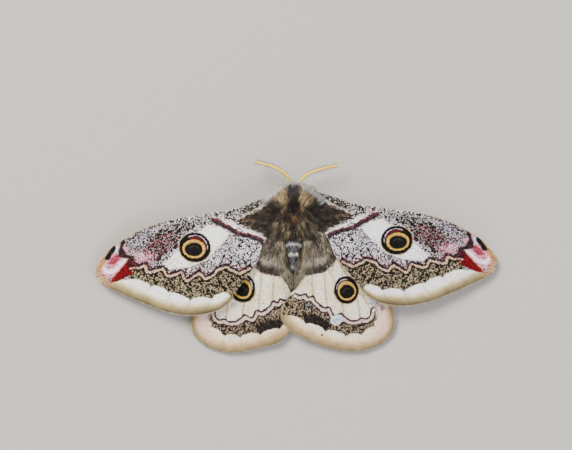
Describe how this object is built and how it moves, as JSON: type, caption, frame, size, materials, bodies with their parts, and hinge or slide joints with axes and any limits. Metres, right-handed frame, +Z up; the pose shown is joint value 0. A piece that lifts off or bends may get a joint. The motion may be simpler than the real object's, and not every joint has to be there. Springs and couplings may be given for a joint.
{
  "type": "emperor moth",
  "caption": "Life-size still model of a resting female emperor moth, wings spread flat to show their eyespots, standing on its feet; for display.",
  "frame": {"origin": "middle of the whole model's footprint, on the floor plane under its feet", "axes": "+X towards the tip of the right wing, +Y towards the head, +Z up from the floor"},
  "size_m": [0.076, 0.0365, 0.0082],
  "materials": {
    "fur": "matt grey-brown fur with a pale collar",
    "abdomen": "matt dark grey fur with pale rings",
    "forewing": "matt powdery scales, grey and white with an eyespot, crimson near the tip",
    "hindwing": "matt powdery scales, white and grey-brown with an eyespot",
    "eye": "glossy black-brown facets",
    "antenna": "satin straw yellow",
    "leg": "short brown fur over dark shell"
  },
  "bodies": {
    "root": {"thorax": "fur", "head": "fur", "abdomen": "abdomen", "eye_right": "eye", "eye_left": "eye", "antenna_right": "antenna", "antenna_left": "antenna", "forewing_right": "forewing", "forewing_left": "forewing", "hindwing_right": "hindwing", "hindwing_left": "hindwing", "leg_fore_right": "leg", "leg_mid_right": "leg", "leg_hind_right": "leg", "leg_fore_left": "leg", "leg_mid_left": "leg", "leg_hind_left": "leg"}
  },
  "joints": []
}
